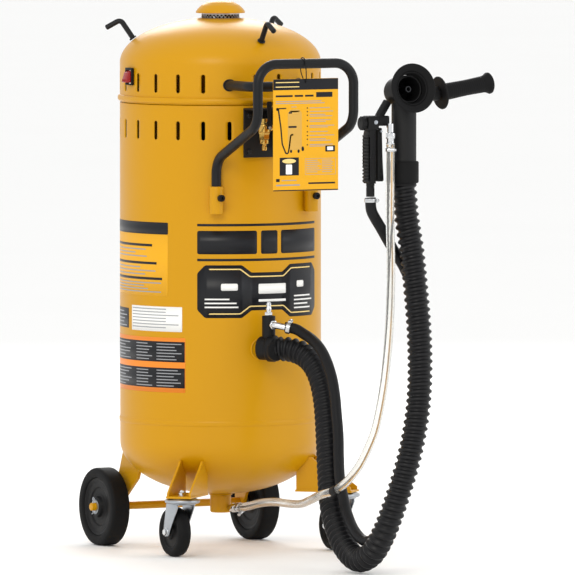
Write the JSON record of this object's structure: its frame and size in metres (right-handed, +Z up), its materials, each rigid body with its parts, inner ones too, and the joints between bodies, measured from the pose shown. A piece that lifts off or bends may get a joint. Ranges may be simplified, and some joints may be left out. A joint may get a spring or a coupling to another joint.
{
  "type": "abrasive blast vacuum",
  "caption": "Wheeled tank with vacuum head, push handle, air controls, hoses and a suction and blast hand tool for abrasive blasting.",
  "frame": {"origin": "on the floor, under the tank's vertical axis", "axes": "+Z up, -Y towards the push handle and the hoses at the front, +X to the right seen from the front"},
  "size_m": [0.44, 1.0964, 1.109],
  "materials": {
    "yellow_powder_coat": "semi-gloss powder coat",
    "black_powder_coat": "satin powder coat",
    "moulded_black_plastic": "moulded",
    "black_rubber": "matt",
    "corrugated_hose": "ribbed, satin",
    "clear_vinyl": "clear, faintly yellow",
    "red_plastic": "gloss",
    "zinc_plate": "zinc plated",
    "chrome_plate": "polished",
    "brass": "turned",
    "blackened_screw": "black oxide",
    "pleated_filter": "pleated paper",
    "printed_card": "printed"
  },
  "bodies": {
    "tank": {"air_coupler": "chrome_plate", "air_inlet_plug": "brass", "axle_leg_left": "yellow_powder_coat", "axle_leg_right": "yellow_powder_coat", "ball_valve": "brass", "blast_elbow": "chrome_plate", "blast_grip": "moulded_black_plastic", "blast_hose": "black_rubber", "blast_nozzle": "zinc_plate", "caster_bracket_left": "yellow_powder_coat", "caster_bracket_right": "yellow_powder_coat", "control_bracket": "black_powder_coat", "cup_clamp": "chrome_plate", "filter_bowl": "moulded_black_plastic", "filter_cartridge": "pleated_filter", "filter_end_cap": "zinc_plate", "handle_socket_left": "yellow_powder_coat", "handle_socket_right": "yellow_powder_coat", "hose_cuff": "black_rubber", "inlet_fitting": "moulded_black_plastic", "media_fitting": "chrome_plate", "media_hose": "clear_vinyl", "motor_deck": "zinc_plate", "motor_housing": "moulded_black_plastic", "outlet_fitting": "chrome_plate", "outlet_socket": "yellow_powder_coat", "pressure_gauge": "moulded_black_plastic", "push_handle": "black_powder_coat", "rear_axle": "yellow_powder_coat", "regulator_body": "zinc_plate", "side_grip": "black_rubber", "socket_screw_left": "blackened_screw", "socket_screw_right": "blackened_screw", "suction_cup": "black_rubber", "suction_hose": "corrugated_hose", "tank_shell": "yellow_powder_coat", "tool_head": "black_powder_coat"},
    "hood": {"hood": "yellow_powder_coat", "vent_screen": "chrome_plate", "vent_cap": "yellow_powder_coat", "hose_hook_1": "black_powder_coat", "hose_hook_2": "black_powder_coat", "hose_hook_3": "black_powder_coat", "switch_bezel": "moulded_black_plastic", "guard_bar": "black_powder_coat"},
    "switch_rocker": {"switch_rocker": "red_plastic"},
    "motor_rotor": {"motor_rotor": "zinc_plate"},
    "rear_wheel_left": {"rear_wheel_left": "black_rubber"},
    "rear_wheel_right": {"rear_wheel_right": "black_rubber"},
    "caster_left": {"caster_fork_left": "zinc_plate"},
    "caster_right": {"caster_fork_right": "zinc_plate"},
    "caster_wheel_left": {"caster_wheel_left": "black_rubber"},
    "caster_wheel_right": {"caster_wheel_right": "black_rubber"},
    "regulator_knob": {"regulator_knob": "moulded_black_plastic"},
    "gauge_needle": {"gauge_needle": "red_plastic"},
    "valve_lever": {"valve_lever": "moulded_black_plastic"},
    "tag": {"hang_tag": "printed_card", "tag_tie": "moulded_black_plastic"},
    "blast_lever": {"blast_lever": "moulded_black_plastic"},
    "valve_knob": {"valve_knob": "moulded_black_plastic"}
  },
  "joints": [
    {"name": "hood_lift", "type": "slide", "parent": "tank", "child": "hood", "axis": [0, 0, 1], "range_m": [0, 0.12]},
    {"name": "switch_tilt", "type": "hinge", "parent": "hood", "child": "switch_rocker", "pos_m": [-0.206, 0, 0.9585], "axis": [0, -1, 0], "range_deg": [0, 14]},
    {"name": "rotor_spin", "type": "hinge", "parent": "tank", "child": "motor_rotor", "pos_m": [0, 0, 0.844], "axis": [0, 0, 1], "continuous": true},
    {"name": "rear_wheel_left_spin", "type": "hinge", "parent": "tank", "child": "rear_wheel_left", "pos_m": [-0.172, 0.18, 0.079], "axis": [1, 0, 0], "continuous": true},
    {"name": "caster_left_swivel", "type": "hinge", "parent": "tank", "child": "caster_left", "pos_m": [-0.182, -0.182, 0.115], "axis": [0, 0, 1], "continuous": true},
    {"name": "caster_wheel_left_spin", "type": "hinge", "parent": "caster_left", "child": "caster_wheel_left", "pos_m": [-0.182, -0.15, 0.05], "axis": [1, 0, 0], "continuous": true},
    {"name": "rear_wheel_right_spin", "type": "hinge", "parent": "tank", "child": "rear_wheel_right", "pos_m": [0.172, 0.18, 0.079], "axis": [1, 0, 0], "continuous": true},
    {"name": "caster_right_swivel", "type": "hinge", "parent": "tank", "child": "caster_right", "pos_m": [0.182, -0.182, 0.115], "axis": [0, 0, 1], "continuous": true},
    {"name": "caster_wheel_right_spin", "type": "hinge", "parent": "caster_right", "child": "caster_wheel_right", "pos_m": [0.182, -0.15, 0.05], "axis": [1, 0, 0], "continuous": true},
    {"name": "regulator_turn", "type": "hinge", "parent": "tank", "child": "regulator_knob", "pos_m": [0.022, -0.25, 0.916], "axis": [0, 0, 1], "range_deg": [0, 720]},
    {"name": "gauge_reading", "type": "hinge", "parent": "tank", "child": "gauge_needle", "pos_m": [0.022, -0.2915, 0.88], "axis": [0, 1, 0], "range_deg": [0, 270]},
    {"name": "ball_valve_turn", "type": "hinge", "parent": "tank", "child": "valve_lever", "pos_m": [-0.032, -0.271, 0.862], "axis": [0, -1, 0], "range_deg": [0, 90]},
    {"name": "tag_swing", "type": "hinge", "parent": "tank", "child": "tag", "pos_m": [-0.007, -0.366, 0.993], "axis": [1, 0, 0], "range_deg": [-60, 5]},
    {"name": "blast_lever_squeeze", "type": "hinge", "parent": "tank", "child": "blast_lever", "pos_m": [-0.04, -0.742, 0.874], "axis": [0, 1, 0], "range_deg": [0, 2.5], "stiffness_Nm_per_rad": 1, "springref_deg": -5.73},
    {"name": "media_valve_turn", "type": "hinge", "parent": "tank", "child": "valve_knob", "pos_m": [-0.0742, -0.742, 0.89], "axis": [1, 0, 0], "range_deg": [0, 270]}
  ]
}
